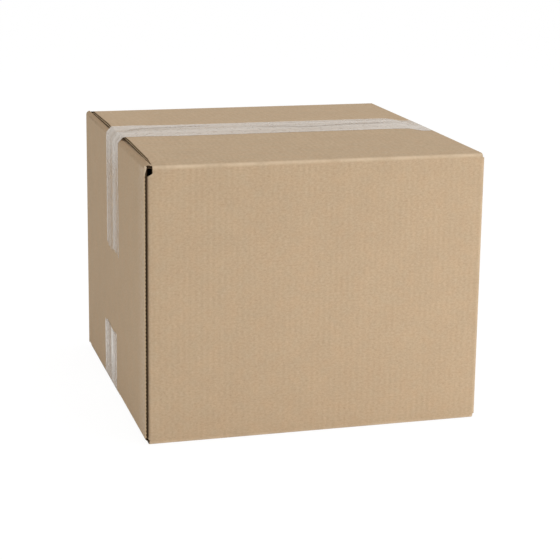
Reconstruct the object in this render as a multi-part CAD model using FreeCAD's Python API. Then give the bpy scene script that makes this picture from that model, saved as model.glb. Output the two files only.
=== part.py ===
"""A closed slotted carton of corrugated board, sealed with tape along its top and bottom seams.

The carton is one sheet, slotted, folded and glued: four walls, a glue tab, and a top and a bottom flap
on each wall. The left and right flaps are folded in first. The front and back flaps close over them and
meet along the middle. Those on top bulge up along that seam, and the tape pulls them down at its two
ends. The left flap on top has sprung up a little at its fold, and pushes up their left edges. The glue
tab hangs on the front wall and lies inside the left wall, so that the left wall's cut edge shows there.

Frame: X runs to the right along the taped seams, Y from front to back, Z up. The origin is under the
middle of the carton, on the surface that it stands on. Sizes are in millimetres.
"""

import FreeCAD
import Part
import math
import os

from FreeCAD import Vector

# Outside sizes of the carton without its tape
LENGTH = 380.0  # left to right
WIDTH = 380.0  # front to back
HEIGHT = 305.0  # underside to the top folds

# Board: single wall, B flute
BOARD = 3.0
LINER = 0.4  # each facing sheet
OPEN_FLUTE = 2.5  # how deep one sees into the flute that a cut has opened

FLAP_EDGE_FLUTE = 1.2  # how much of the opened flute shows in the top outer flaps' pressed edges

# Folds, as the radius inside the bend
FOLD = 1.5

# Flaps
CROWN = 5.0  # how far the top seam stands above the top folds
LEFT_RISE = 3.0  # the same where the tape pulls it down at the left end
RIGHT_RISE = 0.5
PULLED = (1.0, 6.0, 12.0, 18.0)  # how far from the side walls the seam is held at those heights
FREE = (32.0, 50.0)  # and where it is free of the tape's pull
LIFT = 1.0  # how far the left top flap's fold stands above the top folds
RAMP = 26.0  # from the left wall's face to where that flap is down at the right one's level
RAMP_SETBACK = 35.0  # from the front and back walls' faces to the sides of its sloping part
ARCH = 3.2  # how far it pushes up the outer flaps' left edges
ARCH_START = 22.0  # how far behind their folds they are all the way up
ARCH_END = 60.0  # and how far from the seam they start to come down to the tape
ARCH_AT_SEAM = 0.25  # the share of it that is left at the seam
SEAM_GAP = 2.0  # between two flaps that meet
PLY_GAP = 0.3  # between an outer flap and the inner flap under it

# Slots between flaps. An inset runs from the side wall's face to the outer flap's edge.
SLOT_DEPTH = 5.0
INSET = 3.0
TOP_LEFT_DEPTH = 8.0
TOP_LEFT_INSET = 6.0
TOP_JOINT_INSET = 9.0
LOWER_JOINT_INSET = 4.5

# Glued joint at the front left corner
TAB_LENGTH = 35.0
TAB_SLOPE = 0.5  # fall of the tab's ends for each millimetre away from the slot
SETBACK = 0.4  # from the front wall's face to the left wall's cut edge
GLUE_BITE = 0.2  # how far the glued boards are pressed into each other
CUT_PITCH = 4.1  # teeth of the knife that cut the left wall's edge
CUT_TOOTH = 1.1
CUT_LIP = 0.3

# Tape
TAPE_WIDTH = 76.0
TAPE = 0.15
TOP_DROP = 134.0  # from the top folds down the left and right walls
BOTTOM_RISE = 75.0  # from the underside up the same walls
BOTTOM_SHIFT = 20.0  # how far behind the seam the bottom strip's middle lies
TAPE_TEETH = 20  # left by the cutter across each end
TAPE_TOOTH = 1.5

# Planes and radii that follow
LEFT, RIGHT = -LENGTH / 2, LENGTH / 2
FRONT, BACK = -WIDTH / 2, WIDTH / 2
UNDER = TAPE
TOP = UNDER + HEIGHT
BEND = FOLD + BOARD
INNER_DROP = BOARD + PLY_GAP  # from an outer flap's face to the inner flap's face
HINGE = BACK - BEND  # where the outer flaps leave their folds
SIDE_END = INNER_DROP + BEND  # from a fold's height to the start of an inner flap's bend
TAB_FACE = LEFT + BOARD - GLUE_BITE
REACH = 1.0  # how far cutting shapes stand clear of what they cut


def box(x, y, z):
    """A block given by its two ends along each axis."""
    return Part.makeBox(x[1] - x[0], y[1] - y[0], z[1] - z[0], Vector(x[0], y[0], z[0]))


def around(centre, radius, angle):
    """The point at an angle (radians, from +X towards +Z) on a circle in the XZ plane."""
    return Vector(centre[0] + radius * math.cos(angle), 0, centre[1] + radius * math.sin(angle))


def arc(centre, radius, start, end):
    """An arc in the XZ plane."""
    points = [around(centre, radius, angle) for angle in (start, (start + end) / 2, end)]
    return Part.Arc(*points).toShape()


def prism(edges, y):
    """A closed outline in the XZ plane, drawn out between two places on Y."""
    shape = Part.Face(Part.Wire(Part.sortEdges(edges)[0]))
    shape.translate(Vector(0, y[0], 0))
    return shape.extrude(Vector(0, y[1] - y[0], 0))


def polygon(points):
    """The edges of a closed polygon in the XZ plane."""
    points = [Vector(x, 0, z) for x, z in points]
    return Part.makePolygon(points + points[:1]).Edges


def upside_down(shape):
    """The same shape mirrored about the middle of the carton's height."""
    return shape.mirror(Vector(0, 0, (TOP + UNDER) / 2), Vector(0, 0, 1))


def turned(shape, angle):
    """The same shape turned about the upright axis."""
    shape = shape.copy()
    shape.rotate(Vector(0, 0, 0), Vector(0, 0, 1), angle)
    return shape


def bent(reach, foot, top, end, depths):
    """Bent board seen end on, between two depths below its outer face.

    It stands at X = reach from Z = foot, bends over below Z = top and runs inwards to X = end.
    """
    centre = (reach - BEND, top - BEND)
    edges = []
    rims = []
    for depth in depths:
        radius = BEND - depth
        rise = (Vector(reach - depth, 0, foot), around(centre, radius, 0))
        run = (around(centre, radius, math.pi / 2), Vector(end, 0, top - depth))
        edges.append(arc(centre, radius, 0, math.pi / 2))
        edges += [Part.makeLine(*line) for line in (rise, run) if line[0].distanceToPoint(line[1]) > 1e-6]
        rims.append((rise[0], run[1]))
    edges += [Part.makeLine(*line) for line in zip(*rims)]
    return edges


def flap(reach, foot, drop, sides, end=SEAM_GAP / 2, opened=BOARD - 2 * LINER):
    """A top flap on a wall at X = reach, between two places on Y, with its side flutes cut open."""
    top = TOP - drop
    shape = prism(bent(reach, TOP - foot, top, end, (0, BOARD)), sides)
    flute = bent(reach, TOP - foot, top, end, (LINER, LINER + opened))
    for y in ((sides[0], sides[0] + OPEN_FLUTE), (sides[1] - OPEN_FLUTE, sides[1])):
        shape = shape.cut(prism(flute, y))
    return shape


def arched(y):
    """How far the outer flaps are pushed up at their left edges, at a place on Y."""
    away = max(abs(y), SEAM_GAP / 2)
    if away > ARCH_END:
        return ARCH * min(1.0, (HINGE - away) / ARCH_START)
    share = (away - SEAM_GAP / 2) / (ARCH_END - SEAM_GAP / 2)
    return ARCH * (ARCH_AT_SEAM + (1 - ARCH_AT_SEAM) * share)


def crowned(y):
    """The share of the seam's height that the outer flaps have, at a place on Y."""
    return min(1.0, (HINGE - abs(y)) / (HINGE - SEAM_GAP / 2))


def ridge(y, level):
    """A line along X over the top outer flaps, at a place on Y and a level over their faces."""
    crown, arch = crowned(y), arched(y)
    poles = [(LEFT + x, crown * LEFT_RISE + arch) for x in PULLED]
    poles.append((LEFT + FREE[0], crown * CROWN + arch / 2))
    poles += [(LEFT + FREE[1], crown * CROWN), (0.0, crown * CROWN)]
    poles += [(RIGHT - x, crown * CROWN) for x in FREE[::-1]]
    poles += [(RIGHT - x, crown * RIGHT_RISE) for x in PULLED[::-1]]
    curve = Part.BSplineCurve()
    curve.buildFromPoles([Vector(x, y, TOP + level + rise) for x, rise in poles], False, 3)
    return curve.toShape()


def sheet(y, levels):
    """A layer between two places on Y and two levels over the top flaps' faces, from wall to wall."""
    turns = [side * away for side in (-1, 1) for away in (HINGE - ARCH_START, ARCH_END, SEAM_GAP / 2)]
    places = sorted([*y, *(turn for turn in turns if y[0] < turn < y[1])])
    rings = []
    for place in places:
        low, high = (ridge(place, level) for level in levels)
        ends = [Part.makeLine(low.Vertexes[i].Point, high.Vertexes[i].Point) for i in (0, 1)]
        rings.append(Part.Wire([low, ends[1], high, ends[0]]))
    return Part.makeLoft(rings, True, True)


def crowned_flap(y, x):
    """The part of a top outer flap that lies behind its fold, between two places on X."""
    z = (TOP - 2 * BOARD, TOP + 2 * CROWN)
    shape = sheet(y, (-BOARD, 0)).common(box(x, y, z))
    flute = sheet(y, (-LINER - FLAP_EDGE_FLUTE, -LINER))
    for side in ((x[0], x[0] + OPEN_FLUTE), (x[1] - OPEN_FLUTE, x[1])):
        shape = shape.cut(flute.common(box(side, y, z)))
    return shape


def outer_flaps():
    """Front and back flaps, top and bottom. They meet along the seams."""
    seam = SEAM_GAP / 2
    front = (LEFT + TOP_JOINT_INSET, RIGHT - INSET)
    back = (LEFT + TOP_LEFT_INSET, RIGHT - INSET)
    lower_front = (LEFT + LOWER_JOINT_INSET, RIGHT - INSET)
    lower_back = (-RIGHT + INSET, -LEFT - INSET)
    return [
        turned(flap(BACK, TOP_LEFT_DEPTH, 0, front, HINGE, FLAP_EDGE_FLUTE), -90),
        turned(flap(BACK, TOP_LEFT_DEPTH, 0, (-back[1], -back[0]), HINGE, FLAP_EDGE_FLUTE), 90),
        crowned_flap((-HINGE, -seam), front),
        crowned_flap((seam, HINGE), back),
        upside_down(turned(flap(BACK, SLOT_DEPTH, 0, lower_front), -90)),
        upside_down(turned(flap(BACK, SLOT_DEPTH, 0, lower_back), 90)),
    ]


def inner_flaps():
    """Left and right flaps, top and bottom, narrower so that they tuck between the other walls."""
    plain = flap(RIGHT, SIDE_END, INNER_DROP, (FRONT + BEND, BACK - BEND))
    return [sprung_flap(), plain, upside_down(plain), upside_down(turned(plain, 180))]


def slope(depths):
    """The outline of the left top flap between its fold and its flat part, at two depths below its face."""
    high, low = TOP + LIFT, TOP - INNER_DROP
    ends = ((LEFT + BEND, high), (LEFT + RAMP, low))
    points = [(x, z - depths[0]) for x, z in ends] + [(x, z - depths[1]) for x, z in ends[::-1]]
    return polygon(points)


def sprung_flap():
    """The left flap on top. It rises to its fold, slopes down from there and then lies flat.

    Its sloping part is narrower, but for a strip beside the front outer flap that runs up to the corner.
    """
    start, low = FRONT + SETBACK, TOP - INNER_DROP
    bend = flap(RIGHT, BEND - LIFT, -LIFT, (FRONT + BEND, BACK - SETBACK), RIGHT - BEND)
    ramp = prism(slope((0, BOARD)), (start, BACK - RAMP_SETBACK))
    ramp = ramp.cut(prism(slope((LINER, BOARD - LINER)), (start, start + OPEN_FLUTE)))
    strip = (LEFT + TOP_JOINT_INSET - PLY_GAP, LEFT + RAMP + REACH)
    beside = box(strip, (FRONT, FRONT + RAMP_SETBACK), (low - 2 * BOARD, TOP + LIFT + REACH))
    flat = box((LEFT + RAMP, -SEAM_GAP / 2), (FRONT + BEND, BACK - BEND), (low - BOARD, low))
    return turned(bend, 180).fuse([ramp.cut(beside), flat])


def fold(x, y, turn, depth):
    """An upright quarter fold about (x, y), with slots of this depth above it."""
    base = Vector(x, y, UNDER + SLOT_DEPTH)
    height = HEIGHT - SLOT_DEPTH - depth
    up = Vector(0, 0, 1)
    shape = Part.makeCylinder(BEND, height, base, up, 90)
    shape = shape.cut(Part.makeCylinder(FOLD, height, base, up, 90))
    shape.rotate(base, up, turn)
    return shape


def walls():
    """The four walls and the three folds between them."""
    between = (UNDER + SLOT_DEPTH, TOP - TOP_LEFT_DEPTH)
    right = (UNDER + SIDE_END, TOP - SIDE_END)
    return [
        box((LEFT + TOP_JOINT_INSET, RIGHT - BEND), (FRONT, FRONT + BOARD), between),
        box((LEFT + BEND, RIGHT - BEND), (BACK - BOARD, BACK), between),
        box((RIGHT - BOARD, RIGHT), (FRONT + BEND, BACK - BEND), right),
        left_wall(),
        fold(RIGHT - BEND, FRONT + BEND, 270, SLOT_DEPTH),
        fold(RIGHT - BEND, BACK - BEND, 0, SLOT_DEPTH),
        fold(LEFT + BEND, BACK - BEND, 90, TOP_LEFT_DEPTH),
    ]


def left_wall():
    """The left wall, with a flute open along its cut edge and the knife's teeth left in its facing."""
    z = (UNDER + SIDE_END, TOP + LIFT - BEND)
    edge = FRONT + SETBACK
    wall = box((LEFT, LEFT + BOARD), (edge, BACK - BEND), z)
    flute = box((LEFT + LINER, LEFT + BOARD - LINER), (edge - REACH, edge + OPEN_FLUTE), z)
    teeth = round((z[1] - z[0]) / CUT_PITCH)
    pitch = (z[1] - z[0]) / teeth
    points = [(LEFT, z[0])]
    for tooth in range(teeth):
        start = z[0] + tooth * pitch
        points += [(LEFT + LINER, start), (LEFT + LINER + CUT_TOOTH, start + pitch / 2)]
    points += [(LEFT + LINER, z[1]), (LEFT, z[1])]
    lip = prism(polygon(points), (edge, edge + CUT_LIP))
    return wall.cut(flute).fuse(lip)


def sloping_cut(x, z):
    """All above a plane that falls away to the left and to the back from a place on the front wall."""
    size = 2 * TAB_LENGTH
    shape = Part.makeBox(2 * size, 2 * size, size, Vector(-size, -size, 0))
    angle = math.degrees(math.atan(TAB_SLOPE * math.sqrt(2)))
    shape.rotate(Vector(0, 0, 0), Vector(1, 1, 0), -angle)
    shape.translate(Vector(x, FRONT, z))
    return shape


def glue_tab():
    """The tab, its fold at the front wall's left end, and the sloping cuts at both its ends."""
    between = (UNDER + SLOT_DEPTH, TOP - TOP_LEFT_DEPTH)
    x, y = TAB_FACE + BEND, FRONT + BEND
    slot = LEFT + TOP_JOINT_INSET
    tab = fold(x, y, 180, TOP_LEFT_DEPTH)
    tab = tab.fuse(box((x, slot), (FRONT, FRONT + BOARD), between))
    tab = tab.fuse(box((TAB_FACE, TAB_FACE + BOARD), (y, y + TAB_LENGTH), between))
    tab = tab.cut(sloping_cut(slot, between[1]))
    return tab.cut(upside_down(sloping_cut(LEFT + LOWER_JOINT_INSET, TOP - SLOT_DEPTH)))


def carton():
    """The whole folded sheet."""
    shapes = walls() + [glue_tab()] + outer_flaps() + inner_flaps()
    return shapes[0].fuse(shapes[1:]).removeSplitter()


def taut_side(inset, fold_top, height, drop, offset):
    """The path of taut tape up the right hand side, from its end to well above the flaps.

    It leaves the inner flap's fold where a straight run just reaches the outer flap's edge, which lies
    inset from the wall's face at this height. offset is how far out from the carton the path runs.
    """
    centre = (RIGHT - BEND, fold_top - BEND)
    x, z = BEND - inset, height - centre[1]
    leave = math.atan2(z, x) - math.acos(BEND / math.hypot(x, z))
    radius = BEND + offset
    first, last = around(centre, radius, 0), around(centre, radius, leave)
    run = (TOP + 3 * CROWN - last.z) / math.cos(leave)
    far = last + Vector(-math.sin(leave), 0, math.cos(leave)) * run
    start = Vector(first.x, 0, TOP - drop)
    return [Part.makeLine(start, first), arc(centre, radius, 0, leave), Part.makeLine(last, far)]


def within(left, right, lid, drop, offset):
    """All that lies within an offset of the carton's surface, across the tape's width.

    left and right are each side's inset, fold height and edge height. lid closes the shape on top.
    """
    sides = [taut_side(*side, drop, offset) for side in (left, right)]
    sides[0] = [edge.mirror(Vector(0, 0, 0), Vector(1, 0, 0)) for edge in sides[0]]
    ends = [(side[0].Vertexes[0].Point, side[-1].Vertexes[-1].Point) for side in sides]
    edges = sides[0] + sides[1] + [Part.makeLine(*line) for line in zip(*ends)]
    return prism(edges, (-TAPE_WIDTH / 2, TAPE_WIDTH / 2)).common(lid)


def crowned_lid(offset):
    """All below a height offset over the top flaps' faces, across the tape's width."""
    half, seam = TAPE_WIDTH / 2, SEAM_GAP / 2
    low = box((LEFT - REACH, RIGHT + REACH), (-half, half), (TOP - TOP_DROP - REACH, TOP))
    strips = ((-half, -seam), (-seam, seam), (seam, half))
    return low.fuse([sheet(y, (-2 * CROWN, offset)) for y in strips])


def toothed(tape, drop):
    """The same strip of tape with the cutter's teeth left across both its ends."""
    end = TOP - drop
    half = TAPE_WIDTH / 2
    pitch = TAPE_WIDTH / TAPE_TEETH
    points = [(-half, end - REACH)]
    for tooth in range(TAPE_TEETH):
        start = tooth * pitch - half
        points += [(start, end), (start + pitch / 2, end + TAPE_TOOTH)]
    points += [(half, end), (half, end - REACH)]
    return tape.cut(turned(prism(polygon(points), (LEFT - REACH, RIGHT + REACH)), 90))


def top_tape():
    """The strip over the top seam and down both side walls."""
    edge = TAPE_WIDTH / 2
    left = (TOP_LEFT_INSET, TOP + LIFT, TOP + crowned(edge) * LEFT_RISE + arched(edge))
    right = (INSET, TOP - INNER_DROP, TOP + RIGHT_RISE)
    outer, inner = (within(left, right, crowned_lid(e), TOP_DROP, e) for e in (TAPE, 0))
    return toothed(outer.cut(inner), TOP_DROP)


def bottom_tape():
    """The strip under the bottom seam and up both side walls. It lies off the seam, towards the back."""
    side = (INSET, TOP - INNER_DROP, TOP)
    x, y, low = (LEFT - REACH, RIGHT + REACH), (-TAPE_WIDTH, TAPE_WIDTH), TOP - BOTTOM_RISE - REACH
    outer, inner = (within(side, side, box(x, y, (low, TOP + e)), BOTTOM_RISE, e) for e in (TAPE, 0))
    tape = upside_down(toothed(outer.cut(inner), BOTTOM_RISE))
    tape.translate(Vector(0, BOTTOM_SHIFT, 0))
    return tape


if __name__ == "__main__":
    os.makedirs("parts", exist_ok=True)
    carton().exportStep("parts/carton.step")
    top_tape().exportStep("parts/top_tape.step")
    bottom_tape().exportStep("parts/bottom_tape.step")
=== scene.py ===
import math

import bpy
from mathutils import Matrix, Vector, bvhtree, noise


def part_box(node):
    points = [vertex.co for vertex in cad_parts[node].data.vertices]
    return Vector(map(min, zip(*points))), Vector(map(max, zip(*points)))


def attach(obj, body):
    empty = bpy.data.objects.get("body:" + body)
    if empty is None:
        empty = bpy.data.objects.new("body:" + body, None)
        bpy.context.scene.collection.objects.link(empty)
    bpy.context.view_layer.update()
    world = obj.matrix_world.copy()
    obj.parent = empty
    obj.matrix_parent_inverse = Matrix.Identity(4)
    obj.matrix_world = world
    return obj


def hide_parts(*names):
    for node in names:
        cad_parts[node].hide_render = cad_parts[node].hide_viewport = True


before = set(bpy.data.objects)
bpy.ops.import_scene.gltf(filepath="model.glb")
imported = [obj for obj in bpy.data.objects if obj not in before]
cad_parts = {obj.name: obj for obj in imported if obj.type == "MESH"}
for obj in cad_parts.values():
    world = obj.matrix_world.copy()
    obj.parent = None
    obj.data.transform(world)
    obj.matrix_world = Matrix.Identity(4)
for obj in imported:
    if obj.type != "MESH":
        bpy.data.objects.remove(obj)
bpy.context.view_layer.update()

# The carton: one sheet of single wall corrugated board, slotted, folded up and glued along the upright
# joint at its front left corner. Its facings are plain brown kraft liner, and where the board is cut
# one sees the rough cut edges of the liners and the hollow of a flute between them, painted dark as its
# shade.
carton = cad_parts["carton"]
carton_low, carton_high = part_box("carton")
WALL = carton_high.x  # from the middle to the outer face of each wall
UNDERSIDE = carton_low.z
TOP_FOLDS = UNDERSIDE + 0.305  # the flaps bulge above this
FOLD_RADIUS = 0.0045  # on the outside
BOARD = 0.003
LINER = 0.0004
FLUTE_PITCH = 0.0065  # B flute, about 154 flutes to the metre
FLUTE_DEPTH = 0.0025  # how far one sees into a flute that a cut has opened
JOINT_EDGE = 0.0004 - WALL  # the left wall's cut edge, just behind the front wall's face
TAB_END = FOLD_RADIUS + 0.035 - WALL  # the glued tab's far end, behind the left wall
NEAR = 0.0002  # what still counts as the same plane

# Sizes of the patterns in the paper
WASHBOARD_DRIFT = 0.09
CLOUDS = 0.03
TINTS = 0.011
FIBRES = 0.0019
SPECKS = 0.006
CRACKS = 0.003
SCUFFS = 0.0035
ROUGH_PULP = 0.0016

# Heights of its relief
WASHBOARD_RELIEF = 0.00005
FIBRE_RELIEF = 0.00006
PULP_RELIEF = 0.0001

# Colours of the paper, with a painted highlight for the folds and painted shade among them. The kraft's own
# pair lies under the others, of which a pair shades what lies under it and one alone covers it.
KRAFT = ("CCB192", "C5B297")
CLOUD_SHADES = ("F9F8F7", "FEFDFC")
FIBRE_SHADES = ("E8E3DD", "FFFFFF")
FOLD_PAINTED_SHADES = ("FFFFFF", "E2DDD8")
DARK_SPECK = "94795A"
FLUTE_SHADOW = "8F7558"
RUBBED_FOLD_HIGHLIGHT = "DCC6A9"
CRACKED = "6B543C"
SCUFFED = "D8CBBC"


def linear(code):
    """An sRGB colour such as "BEA587" as linear red, green, blue and alpha."""
    levels = [int(code[i : i + 2], 16) / 255 for i in (0, 2, 4)]
    return [v / 12.92 if v <= 0.04045 else ((v + 0.055) / 1.055) ** 2.4 for v in levels] + [1.0]


def add(tree, kind, inputs=None, **settings):
    """A new node with its settings, and its inputs by name or place: a value or another node's output."""
    made = tree.nodes.new(kind)
    for name, value in settings.items():
        setattr(made, name, value)
    for socket, value in (inputs or {}).items():
        if isinstance(value, bpy.types.NodeSocket):
            tree.links.new(value, made.inputs[socket])
        else:
            made.inputs[socket].default_value = value
    return made


def new_material(name):
    """An empty material and its node tree."""
    material = bpy.data.materials.new(name)
    material.use_nodes = True
    material.node_tree.nodes.clear()
    return material, material.node_tree


def washboard_wave(tree, place, axes):
    """A wave over each flute, from -1 to 1, which comes and goes over the wall."""
    facing = add(tree, "ShaderNodeNewGeometry").outputs["True Normal"]
    facing_x = add(tree, "ShaderNodeSeparateXYZ", {0: facing}).outputs["X"]
    sideways = add(tree, "ShaderNodeMath", {0: facing_x}, operation="ABSOLUTE").outputs[0]
    on_side_wall = add(tree, "ShaderNodeMath", {0: sideways, 1: 0.6}, operation="GREATER_THAN").outputs[0]
    across = add(tree, "ShaderNodeMix", {0: on_side_wall, 2: axes["X"], 3: axes["Y"]}).outputs[0]
    per_metre = 2 * math.pi / FLUTE_PITCH
    turn = add(tree, "ShaderNodeMath", {0: across, 1: per_metre}, operation="MULTIPLY").outputs[0]
    wave = add(tree, "ShaderNodeMath", {0: turn}, operation="SINE").outputs[0]
    drift = add(
        tree, "ShaderNodeTexNoise", {"Vector": place, "Scale": 1 / WASHBOARD_DRIFT, "Detail": 1.0}
    ).outputs["Fac"]
    return add(tree, "ShaderNodeMath", {0: wave, 1: drift}, operation="MULTIPLY").outputs[0]


def fold_wear_and_highlight(tree, axes, clouds):
    """How much the liner is paler along the folds, in patches: partly stretched and rubbed, partly a painted
    highlight.

    It lies along the level folds of the front and back. The upright folds show it half as much, and the level
    folds of the side walls not at all.
    """
    near = []
    for axis, middle, reach in (
        ("X", 0.0, WALL),
        ("Y", 0.0, WALL),
        ("Z", (UNDERSIDE + TOP_FOLDS) / 2, (TOP_FOLDS - UNDERSIDE) / 2),
    ):
        off = add(tree, "ShaderNodeMath", {0: axes[axis], 1: middle}, operation="SUBTRACT").outputs[0]
        off = add(tree, "ShaderNodeMath", {0: off}, operation="ABSOLUTE").outputs[0]
        limits = {"From Min": reach - 1.1 * FOLD_RADIUS, "From Max": reach - 0.3 * FOLD_RADIUS}
        near.append(
            add(
                tree, "ShaderNodeMapRange", {"Value": off, **limits}, interpolation_type="SMOOTHSTEP"
            ).outputs[0]
        )
    upright = add(tree, "ShaderNodeMath", {0: near[0], 1: near[1]}, operation="MULTIPLY").outputs[0]
    level = add(tree, "ShaderNodeMath", {0: near[1], 1: near[2]}, operation="MULTIPLY").outputs[0]
    folds = add(tree, "ShaderNodeMath", {0: upright, 1: 0.5}, operation="MULTIPLY").outputs[0]
    folds = add(tree, "ShaderNodeMath", {0: folds, 1: level}, operation="MAXIMUM").outputs[0]
    patchy = add(
        tree,
        "ShaderNodeMapRange",
        {"Value": clouds, "From Min": 0.3, "From Max": 0.7, "To Min": 0.3, "To Max": 0.8},
    ).outputs[0]
    return add(tree, "ShaderNodeMath", {0: folds, 1: patchy}, operation="MULTIPLY").outputs[0]


def fold_cracks(tree, place, axes, at_left):
    """Where the liner has cracked: a row of flecks along the back half of the left top fold."""
    stretched = add(tree, "ShaderNodeMapping", {"Vector": place, "Scale": (1.0, 0.5, 1.0)}).outputs[0]
    cracks = add(
        tree, "ShaderNodeTexNoise", {"Vector": stretched, "Scale": 1 / CRACKS, "Detail": 2.0}
    ).outputs["Fac"]
    mask = add(tree, "ShaderNodeMapRange", {"Value": cracks, "From Min": 0.5, "From Max": 0.6}).outputs[0]
    for axis, middle, reach in (("Z", TOP_FOLDS - 0.0028, 0.0016), ("Y", 0.12, 0.05)):
        off = add(tree, "ShaderNodeMath", {0: axes[axis], 1: middle}, operation="SUBTRACT").outputs[0]
        off = add(tree, "ShaderNodeMath", {0: off}, operation="ABSOLUTE").outputs[0]
        limits = {"From Min": reach, "From Max": 0.6 * reach}
        inside = add(tree, "ShaderNodeMapRange", {"Value": off, **limits}).outputs[0]
        mask = add(tree, "ShaderNodeMath", {0: mask, 1: inside}, operation="MULTIPLY").outputs[0]
    for share in (at_left, 0.75):
        mask = add(tree, "ShaderNodeMath", {0: mask, 1: share}, operation="MULTIPLY").outputs[0]
    return mask


def tab_scuffs(tree, place, axes):
    """How much the left wall is scuffed: over the glued tab, in flecks of 1 or 2 mm."""
    over_tab = add(
        tree,
        "ShaderNodeMapRange",
        {"Value": axes["Y"], "From Min": TAB_END - 0.025, "From Max": TAB_END, "To Min": 1.0, "To Max": 0.0},
    ).outputs[0]
    on_wall = add(tree, "ShaderNodeMath", {0: axes["X"], 1: NEAR - WALL}, operation="LESS_THAN").outputs[0]
    over_tab = add(tree, "ShaderNodeMath", {0: over_tab, 1: on_wall}, operation="MULTIPLY").outputs[0]
    flecks = add(
        tree, "ShaderNodeTexNoise", {"Vector": place, "Scale": 1 / SCUFFS, "Detail": 4.0, "Roughness": 0.65}
    ).outputs["Fac"]
    scuffed = add(
        tree,
        "ShaderNodeMapRange",
        {"Value": flecks, "From Min": 0.42, "From Max": 0.62, "To Min": 0.03, "To Max": 0.3},
    ).outputs[0]
    return add(tree, "ShaderNodeMath", {0: scuffed, 1: over_tab}, operation="MULTIPLY").outputs[0]


def kraft_liner():
    """Unbleached kraft paper, machine made: matt, light brown, softly clouded, with long fine fibres.

    The flutes under it show faintly as a washboard, and it is paler along the folds, partly stretched liner
    and partly a painted highlight.
    """
    material, tree = new_material("kraft_liner_unbleached")
    place = add(tree, "ShaderNodeTexCoord").outputs["Object"]
    axes = add(tree, "ShaderNodeSeparateXYZ", {0: place}).outputs
    washboard = washboard_wave(tree, place, axes)
    shadow = add(
        tree,
        "ShaderNodeMapRange",
        {"Value": washboard, "From Min": -0.6, "From Max": 0.6, "To Min": 0.0, "To Max": 0.065},
    ).outputs[0]

    # The kraft's tint wanders, and clouds of pulp shade it
    tints = add(
        tree, "ShaderNodeTexNoise", {"Vector": place, "Scale": 1 / TINTS, "Detail": 2.0}
    ).outputs["Fac"]
    clouds = add(
        tree, "ShaderNodeTexNoise", {"Vector": place, "Scale": 1 / CLOUDS, "Detail": 3.0, "Roughness": 0.6}
    ).outputs["Fac"]
    cloudy = add(tree, "ShaderNodeMapRange", {"Value": clouds, "From Min": 0.3, "From Max": 0.7}).outputs[0]

    # Its fibres are 1 to 3 mm long and lie more level than upright, across the flutes
    grain_place = add(tree, "ShaderNodeMapping", {"Vector": place, "Scale": (0.6, 0.6, 1.0)}).outputs[0]
    fibres = add(
        tree,
        "ShaderNodeTexNoise",
        {"Vector": grain_place, "Scale": 1 / FIBRES, "Detail": 4.0, "Roughness": 0.75, "Distortion": 0.2},
    ).outputs["Fac"]
    fibrous = add(
        tree, "ShaderNodeMapRange", {"Value": fibres, "From Min": 0.32, "From Max": 0.68}
    ).outputs[0]
    specks = add(
        tree, "ShaderNodeTexVoronoi", {"Vector": grain_place, "Scale": 1 / SPECKS}, feature="F1"
    ).outputs["Distance"]
    specked = add(
        tree,
        "ShaderNodeMapRange",
        {"Value": specks, "From Min": 0.0, "From Max": 0.16, "To Min": 0.35, "To Max": 0.0},
    ).outputs[0]

    # Painted shade on the left top fold: it is toned down, since so round a fold catches more light than a
    # sharp crease does
    at_fold = add(
        tree,
        "ShaderNodeMapRange",
        {"Value": axes["Z"], "From Min": TOP_FOLDS - 0.004, "From Max": TOP_FOLDS + 0.0008},
    ).outputs[0]
    at_left = add(tree, "ShaderNodeMath", {0: axes["X"], 1: 0.007 - WALL}, operation="LESS_THAN").outputs[0]
    left_fold_painted_shade = add(tree, "ShaderNodeMath", {0: at_left, 1: at_fold}, operation="MULTIPLY").outputs[0]

    base = add(
        tree, "ShaderNodeMix", {0: tints, 6: linear(KRAFT[0]), 7: linear(KRAFT[1])}, data_type="RGBA"
    ).outputs[2]
    for mask, colour in (
        (cloudy, CLOUD_SHADES),
        (fibrous, FIBRE_SHADES),
        (specked, DARK_SPECK),
        (shadow, FLUTE_SHADOW),
        # a painted highlight along the folds, partly stretched and rubbed liner
        (fold_wear_and_highlight(tree, axes, clouds), RUBBED_FOLD_HIGHLIGHT),
        # painted shade on the left top fold
        (left_fold_painted_shade, FOLD_PAINTED_SHADES),
        (fold_cracks(tree, place, axes, at_left), CRACKED),
        (tab_scuffs(tree, place, axes), SCUFFED),
    ):
        if isinstance(colour, tuple):
            ends = {6: linear(colour[0]), 7: linear(colour[1])}
            shade = add(tree, "ShaderNodeMix", {0: mask, **ends}, data_type="RGBA").outputs[2]
            base = add(
                tree, "ShaderNodeMix", {0: 1.0, 6: base, 7: shade}, data_type="RGBA", blend_type="MULTIPLY"
            ).outputs[2]
        else:
            base = add(
                tree, "ShaderNodeMix", {0: mask, 6: base, 7: linear(colour)}, data_type="RGBA"
            ).outputs[2]

    fibre_relief = add(tree, "ShaderNodeMath", {0: fibres, 1: FIBRE_RELIEF}, operation="MULTIPLY").outputs[0]
    relief = add(
        tree, "ShaderNodeMath", {0: washboard, 1: WASHBOARD_RELIEF, 2: fibre_relief}, operation="MULTIPLY_ADD"
    ).outputs[0]
    bump = add(tree, "ShaderNodeBump", {"Strength": 1.0, "Distance": 1.0, "Height": relief}).outputs[0]
    matt = add(
        tree,
        "ShaderNodeMapRange",
        {"Value": fibres, "From Min": 0.3, "From Max": 0.7, "To Min": 0.72, "To Max": 0.88},
    ).outputs[0]
    shader = add(
        tree,
        "ShaderNodeBsdfPrincipled",
        {"Base Color": base, "Roughness": matt, "Normal": bump, "IOR": 1.5, "Specular IOR Level": 0.1},
    )
    add(tree, "ShaderNodeOutputMaterial", {"Surface": shader.outputs[0]})
    return material


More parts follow.
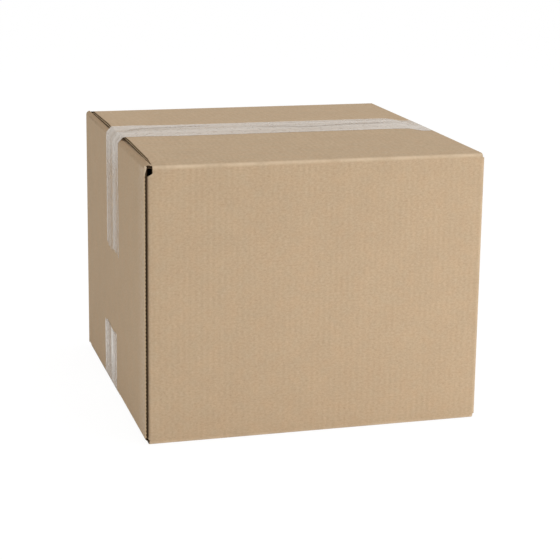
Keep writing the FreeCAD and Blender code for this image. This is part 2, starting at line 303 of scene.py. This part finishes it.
def rough_paper(name, dark, light, roughness):
    """Torn or cut paper, between two colours in blotches of a millimetre or two."""
    material, tree = new_material(name)
    place = add(tree, "ShaderNodeTexCoord").outputs["Object"]
    pulp = add(
        tree, "ShaderNodeTexNoise", {"Vector": place, "Scale": 1 / ROUGH_PULP, "Detail": 3.0}
    ).outputs["Fac"]
    colour = add(
        tree, "ShaderNodeMix", {0: pulp, 6: linear(dark), 7: linear(light)}, data_type="RGBA"
    ).outputs[2]
    relief = add(tree, "ShaderNodeMath", {0: pulp, 1: PULP_RELIEF}, operation="MULTIPLY").outputs[0]
    bump = add(tree, "ShaderNodeBump", {"Strength": 1.0, "Distance": 1.0, "Height": relief}).outputs[0]
    shader = add(
        tree,
        "ShaderNodeBsdfPrincipled",
        {"Base Color": colour, "Roughness": roughness, "Normal": bump, "Specular IOR Level": 0.2},
    )
    add(tree, "ShaderNodeOutputMaterial", {"Surface": shader.outputs[0]})
    return material


def surface(mesh):
    """A search tree over a mesh's faces."""
    return bvhtree.BVHTree.FromPolygons([v.co for v in mesh.vertices], [p.vertices[:] for p in mesh.polygons])


# The three materials, and the places of the last two in the carton's list
carton.data.materials.clear()
carton.data.materials.append(kraft_liner())
# The open flutes: the fluting's own brown, painted near black with the shade that falls in the hollows
carton.data.materials.append(rough_paper("fluting_in_painted_shade", "33261A", "655039", 0.95))
carton.data.materials.append(rough_paper("liner_cut_edge", "A98F6E", "C6AF8E", 0.9))
PAINTED_FLUTE_SHADE = 1
CUT_EDGE = 2

# From each side wall's face to the sides of the front and back flaps
INSET = 0.003
TOP_LEFT_INSET = 0.006
TOP_JOINT_INSET = 0.009
LOWER_JOINT_INSET = 0.0045
SEAM = 0.001  # from the middle to each of those flaps' ends
TOP_FLAPS = 0.29  # they lie above this
BOTTOM_FLAPS = 0.012  # and these below this

# Each cut: its axis, its place, and the corners of the space that it lies in. Faces that look along the
# axis belong to it.
SQUARE_ON = 0.98
X, Y = 0, 1
TOP_END = (Vector((-1, -1, TOP_FLAPS)), Vector((1, 1, 1)))
BOTTOM_END = (Vector((-1, -1, -1)), Vector((1, 1, BOTTOM_FLAPS)))
LEFT_EDGE = (Vector((-1, -1, -1)), Vector((BOARD + NEAR - WALL, 1, 1)))
FRONT_HALF = (Vector((-1, -1, TOP_FLAPS)), Vector((1, 0, 1)))
BACK_HALF = (Vector((-1, 0, TOP_FLAPS)), Vector((1, 1, 1)))
CUTS = (
    (X, TOP_JOINT_INSET - WALL, FRONT_HALF),
    (X, TOP_LEFT_INSET - WALL, BACK_HALF),
    (X, WALL - INSET, TOP_END),
    (X, LOWER_JOINT_INSET - WALL, BOTTOM_END),
    (X, INSET - WALL, BOTTOM_END),
    (X, WALL - INSET, BOTTOM_END),
    (Y, FOLD_RADIUS - WALL, TOP_END),
    (Y, WALL - FOLD_RADIUS, TOP_END),
    (Y, FOLD_RADIUS - WALL, BOTTOM_END),
    (Y, WALL - FOLD_RADIUS, BOTTOM_END),
    (Y, JOINT_EDGE, LEFT_EDGE),
    (Y, JOINT_EDGE, TOP_END),
)
carton_surface = surface(carton.data)


def looks_across(face, reach):
    """Whether this face has board in front of it within this distance."""
    start = face.center + face.normal * 1e-5
    return carton_surface.ray_cast(start, face.normal, reach)[0] is not None


def lies_in(point, space):
    """Whether a point lies between the two corners of a space."""
    return all(space[0][i] <= point[i] <= space[1][i] for i in range(3))


for face in carton.data.polygons:
    # The flaps' ends at the seam, in the gap between them, also get the painted shade
    if abs(abs(face.center.y) - SEAM) < NEAR and abs(face.normal.y) > 0.9:
        face.material_index = PAINTED_FLUTE_SHADE
    for axis, cut, space in CUTS:
        if not lies_in(face.center, space):
            continue
        inwards = (face.center[axis] - cut) * (-1 if cut > 0 else 1)
        along = abs(face.normal[axis])
        if abs(inwards) < NEAR and along > SQUARE_ON:
            # The joint's cut edge gets the painted shade on all but its outer half, where it lies tucked in
            # and shaded
            inner_liner_in_painted_shade = cut == JOINT_EDGE and face.center.x > BOARD / 2 - WALL
            face.material_index = PAINTED_FLUTE_SHADE if inner_liner_in_painted_shade else CUT_EDGE
        elif abs(inwards - FLUTE_DEPTH) < NEAR and along > SQUARE_ON:
            face.material_index = PAINTED_FLUTE_SHADE
        elif 0 < inwards < FLUTE_DEPTH + LINER and along < 0.5 and looks_across(face, BOARD):
            face.material_index = PAINTED_FLUTE_SHADE

# Frayed liner: at the top of the left wall's cut edge its outer facing has torn away from the flutes and
# hangs a little over the slot beside it. It is the same paper as the wall, pale where it has torn.
FRAY_TOP = TOP_FOLDS + 0.00045
FRAY_HEIGHT = 0.0105
FRAY_WIDTH = 0.0029
FRAY_LEAST = 0.0002  # its width at the bottom
FRAY_TAPER = 0.8  # below 1 it keeps its width longer
FRAY_START = 0.45  # the share of its width that it has at the very top
FRAY_WIDENING = 4.0  # how fast it widens from there
FRAY_RAG = 0.0007
FRAY_RAG_STEP = 0.9  # how fast its edge turns in and out, from row to row
FRAY_SEED = 5.0
FRAY_CURL = 0.00025
FRAY_INSET = 0.0001  # behind the left wall's face
FRAY_GAP = 0.00005  # in front of the wall's cut edge
FRAY_ROWS = 24
FRAY_COLUMNS = 4
PAPER = 0.0002
torn_points, torn_faces = [], []
for row in range(FRAY_ROWS + 1):
    down = row / FRAY_ROWS
    reach = FRAY_WIDTH * (1 - down) ** FRAY_TAPER * min(1.0, FRAY_START + FRAY_WIDENING * down)
    reach += FRAY_RAG * noise.noise(Vector((row * FRAY_RAG_STEP, 0.0, FRAY_SEED))) * (1 - down) + FRAY_LEAST
    for column in range(FRAY_COLUMNS + 1):
        share = column / FRAY_COLUMNS
        x = FRAY_INSET - WALL + share * reach
        y = JOINT_EDGE - FRAY_GAP - FRAY_CURL * math.sin(math.pi * share)
        torn_points.append((x, y, FRAY_TOP - down * FRAY_HEIGHT))
for row in range(FRAY_ROWS):
    for column in range(FRAY_COLUMNS):
        corner = row * (FRAY_COLUMNS + 1) + column
        torn_faces.append((corner, corner + FRAY_COLUMNS + 1, corner + FRAY_COLUMNS + 2, corner + 1))
torn_mesh = bpy.data.meshes.new("frayed_liner")
torn_mesh.from_pydata(torn_points, [], torn_faces)
torn_mesh.shade_smooth()
frayed = bpy.data.objects.new("frayed_liner", torn_mesh)
bpy.context.scene.collection.objects.link(frayed)
paper_thickness = frayed.modifiers.new("paper_thickness", "SOLIDIFY")
paper_thickness.thickness = PAPER
paper_thickness.offset = -1.0
frayed.data.materials.append(rough_paper("torn_kraft_paper", "AE9679", "D6C6AE", 0.9))
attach(frayed, "root")

# The top tape: clear packing tape, a film of polypropylene with acrylic glue on its back, laid by hand
# over the top seam and down both side walls. Air caught under it makes it milky, in long streaks.
TAPE_SIDE = 0.038  # half the width
TAPE_THICK = 0.0001
COLUMNS = 80  # faces across it
ROW_STEP = 0.004  # between its rows, except round the folds
FOLD_ROWS = 80
INSIDE = 0.9995  # how near the CAD tape's sides rays feel for it

# The rays come square to the walls and the flaps, and turn from one to the other about a point near
# each fold, this far from the middle and from the folds' height
RAY_REACH = 0.12
CORNER_X = 0.15
CORNER_INSET = 0.04

# Its cut ends: the cutter's teeth, and the rags and tears among them
TEETH = 20
TOOTH = 0.0015
RAG = 0.0022
RAG_WIDTH = 0.012
TEAR = 0.003
TEAR_WIDTH = 0.03
TEAR_STEEPNESS = 6.0

# Its wrinkles: height, length and width
CHANNELS = (0.0006, 0.16, 0.015)
CREASES = (0.00008, 0.05, 0.006)
STUCK_EDGE = 0.004  # along each side, where it comes down to the board
FLAP_WRINKLES = 0.35  # how much of them is left over the flaps
WALL_STREAKS = 1.15
FLAP_STREAKS = 0.2

# Where it bridges the seam on air, as (X, across) points: there it is raised, and painted dark as the seam's
# shade under it
BRIDGE_WIDTH = 0.0021
BRIDGE_HEIGHT = 0.0005
BRIDGE_END = 0.02  # how far it takes to rise and to fall again
SEAM_AIR = (
    ((-0.188, -0.014), (-0.180, -0.004), (-0.166, 0.009), (-0.140, 0.015), (-0.094, 0.021), (-0.060, 0.022)),
    ((-0.030, 0.002), (0.012, -0.001), (0.036, -0.009), (0.063, -0.006), (0.093, -0.001), (0.150, 0.001)),
)

# Its streaks are 10 to 25 mm wide and run on for a hand's length or more, with small bubbles between them
STREAKS = 0.024
BUBBLES = 0.011
STREAK_RELIEF = 0.00015


def packing_film():
    """Polypropylene film over its glue: glossy, half clear where it sticks and milky where it doesn't."""
    material, tree = new_material("polypropylene_packing_film")
    along, across, air_under, streaky, bridge_and_shade = (
        add(tree, "ShaderNodeAttribute", attribute_name=name).outputs["Fac"]
        for name in ("along", "across", "air_under", "streaky", "bridge_and_shade")
    )
    strip = add(tree, "ShaderNodeCombineXYZ", {"X": along, "Y": across}).outputs[0]
    streak_place = add(tree, "ShaderNodeMapping", {"Vector": strip, "Scale": (0.06, 1.0, 1.0)}).outputs[0]
    streaks = add(
        tree,
        "ShaderNodeTexNoise",
        {"Vector": streak_place, "Scale": 1 / STREAKS, "Detail": 2.5, "Roughness": 0.5},
    ).outputs["Fac"]
    bubbles = add(
        tree, "ShaderNodeTexNoise", {"Vector": strip, "Scale": 1 / BUBBLES, "Detail": 4.0, "Roughness": 0.65}
    ).outputs["Fac"]
    streaked = add(
        tree, "ShaderNodeMapRange", {"Value": streaks, "From Min": 0.34, "From Max": 0.66}
    ).outputs[0]
    bubbled = add(
        tree, "ShaderNodeMapRange", {"Value": bubbles, "From Min": 0.35, "From Max": 0.65}
    ).outputs[0]
    air = add(tree, "ShaderNodeMix", {0: 0.25, 2: streaked, 3: bubbled}).outputs[0]

    # The edges have been rubbed down less well and are paler
    off_middle = add(tree, "ShaderNodeMath", {0: across}, operation="ABSOLUTE").outputs[0]
    at_edge = add(
        tree,
        "ShaderNodeMapRange",
        {"Value": off_middle, "From Min": TAPE_SIDE - 0.007, "From Max": TAPE_SIDE - 0.002, "To Max": 0.35},
    ).outputs[0]
    air = add(tree, "ShaderNodeMath", {0: air, 1: at_edge}, operation="ADD", use_clamp=True).outputs[0]

    # Its colour and its cover go from clear to milky with the air; where it bridges the seam it is painted
    # dark and made more opaque, as the seam's shade under it
    colour = add(
        tree, "ShaderNodeMix", {0: air, 6: linear("DBCBB8"), 7: linear("F3EBE1")}, data_type="RGBA"
    ).outputs[2]
    colour = add(
        tree, "ShaderNodeMix", {0: bridge_and_shade, 6: colour, 7: linear("89735E")}, data_type="RGBA"
    ).outputs[2]
    share = add(tree, "ShaderNodeMapRange", {"Value": air, "To Min": -0.75, "To Max": 0.75}).outputs[0]
    share = add(tree, "ShaderNodeMath", {0: share, 1: streaky, 2: 1.0}, operation="MULTIPLY_ADD").outputs[0]
    cover = add(tree, "ShaderNodeMath", {0: share, 1: air_under}, operation="MULTIPLY").outputs[0]
    cover = add(tree, "ShaderNodeMath", {0: bridge_and_shade, 1: 0.45, 2: cover}, operation="MULTIPLY_ADD").outputs[0]

    gloss = add(tree, "ShaderNodeMapRange", {"Value": bubbled, "To Min": 0.24, "To Max": 0.38}).outputs[0]
    relief = add(tree, "ShaderNodeMath", {0: streaks, 1: STREAK_RELIEF}, operation="MULTIPLY").outputs[0]
    bump = add(tree, "ShaderNodeBump", {"Strength": 1.0, "Distance": 1.0, "Height": relief}).outputs[0]
    finish = {"Roughness": gloss, "Alpha": cover, "Normal": bump, "IOR": 1.49, "Specular IOR Level": 0.3}
    shader = add(tree, "ShaderNodeBsdfPrincipled", {"Base Color": colour, **finish})
    add(tree, "ShaderNodeOutputMaterial", {"Surface": shader.outputs[0]})
    return material


def rays(low, corner_z, rise):
    """Where the tape is felt for around the carton: starts and directions, from one end to the other.

    low is the height of both ends, corner_z that of its turns, and rise is 1 over the top, -1 under.
    """
    found = []
    steps = round(abs(corner_z - low) / ROW_STEP)
    for i in range(steps):
        height = low + (corner_z - low) * i / steps
        found.append((Vector((-WALL - RAY_REACH, 0, height)), Vector((1, 0, 0))))
    for i in range(FOLD_ROWS):
        angle = math.pi / 2 * i / FOLD_ROWS
        way = Vector((-math.cos(angle), 0, rise * math.sin(angle)))
        found.append((Vector((-CORNER_X, 0, corner_z)) + way * RAY_REACH, -way))
    across = round(CORNER_X / ROW_STEP)
    for i in range(-across, 1):
        start = Vector((CORNER_X * i / across, 0, corner_z + rise * RAY_REACH))
        found.append((start, Vector((0, 0, -rise))))
    mirror = Matrix.Diagonal((-1, 1, 1))
    return found + [(mirror @ start, mirror @ way) for start, way in reversed(found[:-1])]


def lengths_to(felt, rays_round, middle):
    """How far along the tape each ray meets it."""
    beside = Vector((0, middle + 0.0005, 0))  # a little off the middle, where the mesh may have an edge
    hits = [felt.ray_cast(start + beside, way)[0] for start, way in rays_round]
    run = [0.0]
    for here, there in zip(hits, hits[1:]):
        missed = here is None or there is None
        run.append(run[-1] + (ROW_STEP if missed else (there - here).length))
    return run


def wrinkle(along, across, seed):
    """How far the film stands off the board here, in metres."""
    edge = min(1.0, (TAPE_SIDE - abs(across)) / STUCK_EDGE)
    height, length, width = CHANNELS
    channel = height * max(0.0, noise.noise(Vector((along / length, across / width, seed))) - 0.05)
    height, length, width = CREASES
    crease = height * max(0.0, noise.noise(Vector((along / length, across / width, seed + 7.0))))
    return edge * (channel + crease)


def bridge(spans, x, across):
    """How much the film stands like a bridge here, over lines given as (X, across) points in metres."""
    found = 0.0
    for line in spans:
        ends = min(x - line[0][0], line[-1][0] - x)
        for (x0, a0), (x1, a1) in zip(line, line[1:]):
            if x0 <= x <= x1:
                eased = (1 - math.cos(math.pi * (x - x0) / (x1 - x0))) / 2
                off = (across - a0 - (a1 - a0) * eased) / BRIDGE_WIDTH
                found = max(found, min(1.0, ends / BRIDGE_END) * math.exp(-off * off))
    return found


def cut_end(across, seed, row):
    """How far the film's end runs on here, by the cutter's teeth, the rags and the tears."""
    tooth = 2 * TOOTH * abs((across + TAPE_SIDE) * TEETH / (2 * TAPE_SIDE) % 1 - 0.5)
    rag = RAG * noise.noise(Vector((across / RAG_WIDTH, seed, row)))
    tear = TEAR_STEEPNESS * noise.noise(Vector((across / TEAR_WIDTH, seed + 2.0, row)))
    return tooth + rag + TEAR * max(-0.5, min(0.5, tear))


def lay_film(node, rays_round, seed, air_on_walls, air_on_flaps, spans=()):
    """The strip of film that lies where this CAD tape lies, wrinkled and with its cutter's teeth.

    The two shares say how milky it is on the side walls and over the flaps.
    """
    felt = surface(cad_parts[node].data)
    low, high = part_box(node)
    middle = (low.y + high.y) / 2
    outwards = 1 if node == "bottom_tape" else -1  # which way its ends point
    last = len(rays_round) - 1
    points, grid = [], {}
    values = {"along": [], "across": [], "air_under": [], "streaky": [], "bridge_and_shade": []}
    run = lengths_to(felt, rays_round, middle)
    for row, ((start, way), along) in enumerate(zip(rays_round, run)):
        level = min(1.0, 1.5 * abs(way.z))  # 1 over the flaps, and 0 on the walls
        for column in range(COLUMNS + 1):
            across = TAPE_SIDE * (2 * column / COLUMNS - 1)
            hit = felt.ray_cast(start + Vector((0, middle + across * INSIDE, 0)), way)[0]
            if hit is None:
                continue
            bridge_and_shade = bridge(spans, hit.x, across) if way.z < -0.5 else 0.0
            stand = wrinkle(along, across, seed) * (1 + (FLAP_WRINKLES - 1) * level) + BRIDGE_HEIGHT * bridge_and_shade
            point = hit - way * (0.0 if way.z > 0.5 else stand)  # under the carton it is pressed flat
            if row in (0, last):
                point.z += cut_end(across, seed, row) * outwards
            grid[row, column] = len(points)
            points.append(point)
            values["along"].append(along)
            values["across"].append(across)
            values["air_under"].append(air_on_walls + (air_on_flaps - air_on_walls) * level)
            values["streaky"].append(WALL_STREAKS + (FLAP_STREAKS - WALL_STREAKS) * level)
            values["bridge_and_shade"].append(bridge_and_shade)
    faces = []
    for row, column in grid:
        corners = [(row, column), (row, column + 1), (row + 1, column + 1), (row + 1, column)]
        if all(corner in grid for corner in corners):
            faces.append([grid[corner] for corner in corners])
    mesh = bpy.data.meshes.new(node + "_film")
    mesh.from_pydata(points, [], faces)
    for name, amounts in values.items():
        mesh.attributes.new(name, "FLOAT", "POINT").data.foreach_set("value", amounts)
    mesh.shade_smooth()
    film = bpy.data.objects.new(node + "_film", mesh)
    bpy.context.scene.collection.objects.link(film)
    shell = film.modifiers.new("film_thickness", "SOLIDIFY")
    shell.thickness = TAPE_THICK
    shell.offset = -1.0
    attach(film, "root")
    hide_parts(node)
    return film


film_material = packing_film()
top_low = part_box("top_tape")[0]
top_rays = rays(top_low.z + TOOTH, TOP_FOLDS - CORNER_INSET, 1)
top_film = lay_film(
    "top_tape", top_rays, seed=3.0, air_on_walls=0.21, air_on_flaps=0.5, spans=SEAM_AIR
)
top_film.data.materials.append(film_material)

# The bottom tape: a second strip of the same film, under the bottom seam and a hand's width up the side
# walls. The carton stands on it.
bottom_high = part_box("bottom_tape")[1]
bottom_rays = rays(bottom_high.z - TOOTH, CORNER_INSET, -1)
bottom_film = lay_film("bottom_tape", bottom_rays, seed=11.0, air_on_walls=0.46, air_on_flaps=0.3)
bottom_film.data.materials.append(film_material)

# The studio: a pale floor, which the camera sees almost white, soft light from all round, a large soft
# lamp overhead, one low in front and to the right, and a faint one to the left, whose wall is in shade.
FLOOR_SIZE = 30.0
GLOW_SHARE = 0.88  # of the floor that is seen; the rest is plain paper, which takes the shadow
GLOW = 1.06
SOFT_LIGHT = 0.58  # the world's strength as a light; where it is seen, it is 1
BOX_MIDDLE = Vector((0, 0, 0.15))


def seen_or_mirrored(tree):
    """1 where the camera sees this surface, also in or through another, and 0 where it lights others."""
    ray = add(tree, "ShaderNodeLightPath").outputs
    seen = ray["Is Camera Ray"]
    for other in ("Is Glossy Ray", "Is Transmission Ray"):
        seen = add(tree, "ShaderNodeMath", {0: seen, 1: ray[other]}, operation="MAXIMUM").outputs[0]
    return seen


bpy.ops.mesh.primitive_plane_add(size=FLOOR_SIZE)
floor = bpy.context.object
floor.name = "floor"
paper, tree = new_material("studio_floor_paper")
seen = seen_or_mirrored(tree)
white = add(tree, "ShaderNodeMath", {0: seen, 1: GLOW_SHARE}, operation="MULTIPLY").outputs[0]
pale = add(tree, "ShaderNodeBsdfDiffuse", {"Color": linear("F9F8F7")})
glow = add(tree, "ShaderNodeEmission", {"Color": linear("FFFFFF"), "Strength": GLOW})
mixed = add(tree, "ShaderNodeMixShader", {0: white, 1: pale.outputs[0], 2: glow.outputs[0]})
add(tree, "ShaderNodeOutputMaterial", {"Surface": mixed.outputs[0]})
floor.data.materials.append(paper)

world = bpy.data.worlds.new("studio")
world.use_nodes = True
tree = world.node_tree
tree.nodes.clear()
strengths = {"Value": seen_or_mirrored(tree), "To Min": SOFT_LIGHT, "To Max": 1.0}
strength = add(tree, "ShaderNodeMapRange", strengths).outputs[0]
sky = add(tree, "ShaderNodeBackground", {"Color": linear("FFFFFF"), "Strength": strength})
add(tree, "ShaderNodeOutputWorld", {"Surface": sky.outputs[0]})
bpy.context.scene.world = world

for name, size, power, place in (
    ("overhead_lamp", 1.4, 14.0, (0.3, -0.2, 2.2)),
    ("front_lamp", 0.3, 4.6, (0.75, -1.05, 0.16)),
    ("side_lamp", 0.3, 1.9, (-1.1, -1.1, 0.16)),
):
    lamp = bpy.data.lights.new(name, "AREA")
    lamp.shape = "SQUARE"
    lamp.size = size
    lamp.energy = power
    holder = bpy.data.objects.new(name, lamp)
    holder.location = place
    holder.rotation_euler = (BOX_MIDDLE - holder.location).to_track_quat("-Z", "Y").to_euler()
    bpy.context.scene.collection.objects.link(holder)

view = bpy.data.cameras.new("camera")
view.lens = 103.5
view.shift_y = -0.1
view.clip_end = 20.0
camera = bpy.data.objects.new("camera", view)
camera.location = (-0.5028, -1.7989, 0.6170)
camera.rotation_euler = [math.radians(angle) for angle in (77.21, -0.758, -15.769)]
bpy.context.scene.collection.objects.link(camera)
bpy.context.scene.camera = camera
bpy.context.scene.view_settings.view_transform = "Standard"
